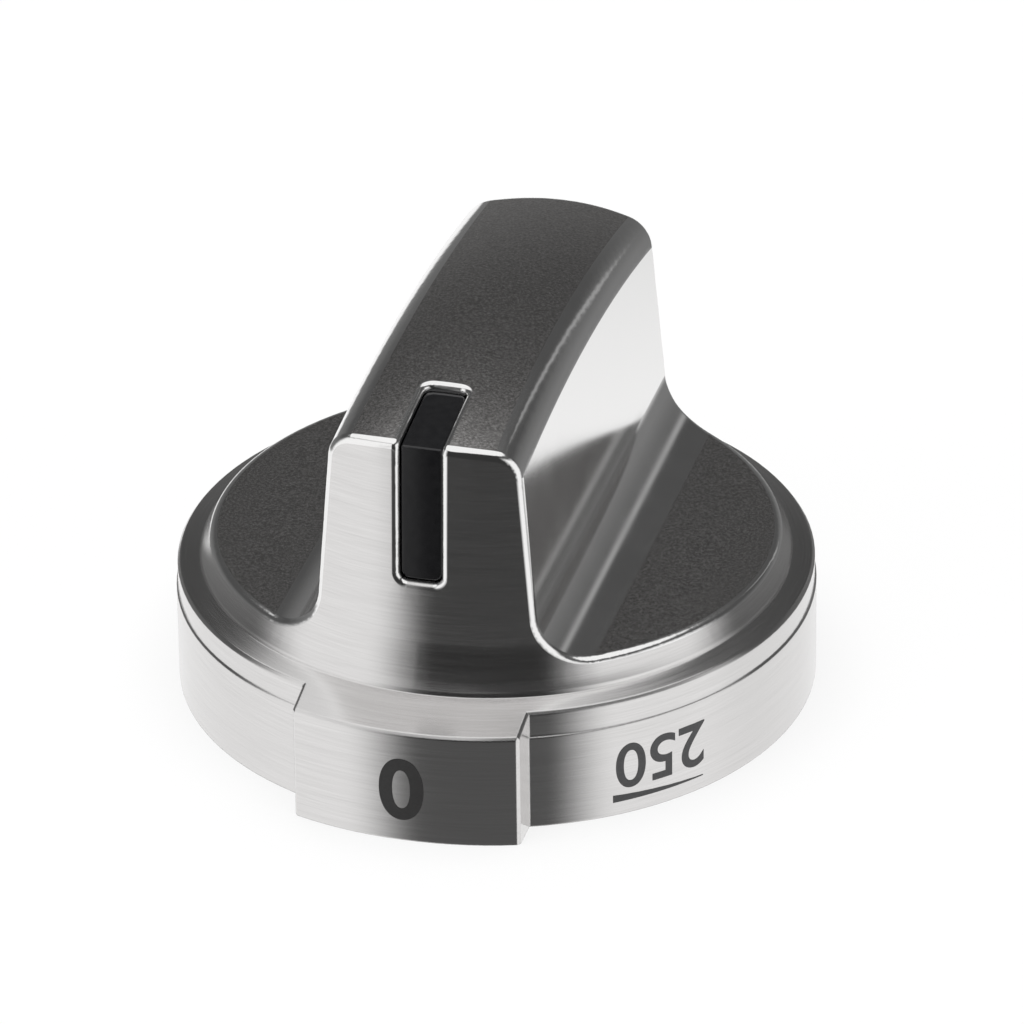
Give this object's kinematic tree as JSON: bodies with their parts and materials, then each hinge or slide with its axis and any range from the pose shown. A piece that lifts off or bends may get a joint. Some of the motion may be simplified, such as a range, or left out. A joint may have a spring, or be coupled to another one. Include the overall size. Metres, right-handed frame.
{
  "type": "control knob",
  "caption": "Round-skirted appliance control knob with a proud index pad, a tall grip bar between finger scoops, a black pointer inlay and a push-on hub for a flatted stem.",
  "frame": {"origin": "on the knob's axis at the mouth of the hub's bore, in the plane of the skirt's rim that faces the panel", "axes": "+Z along the knob's axis, away from the panel; the grip bar runs along Y, with its pointer end and the index pad towards -Y; +X to the right of the pointer as seen from the front"},
  "size_m": [0.06, 0.0631, 0.0387],
  "materials": {
    "brushed_shell": "plated zinc casting, brushed around the skirt, flare and end faces, satin on the scoops and the top",
    "black_inlay": "gloss",
    "hub_plastic": "moulded, matt",
    "spring_steel": "bright strip"
  },
  "bodies": {
    "root": {"knob_body": "brushed_shell", "pointer_inlay": "black_inlay", "shaft_hub": "hub_plastic", "spring_clip": "spring_steel"}
  },
  "joints": []
}
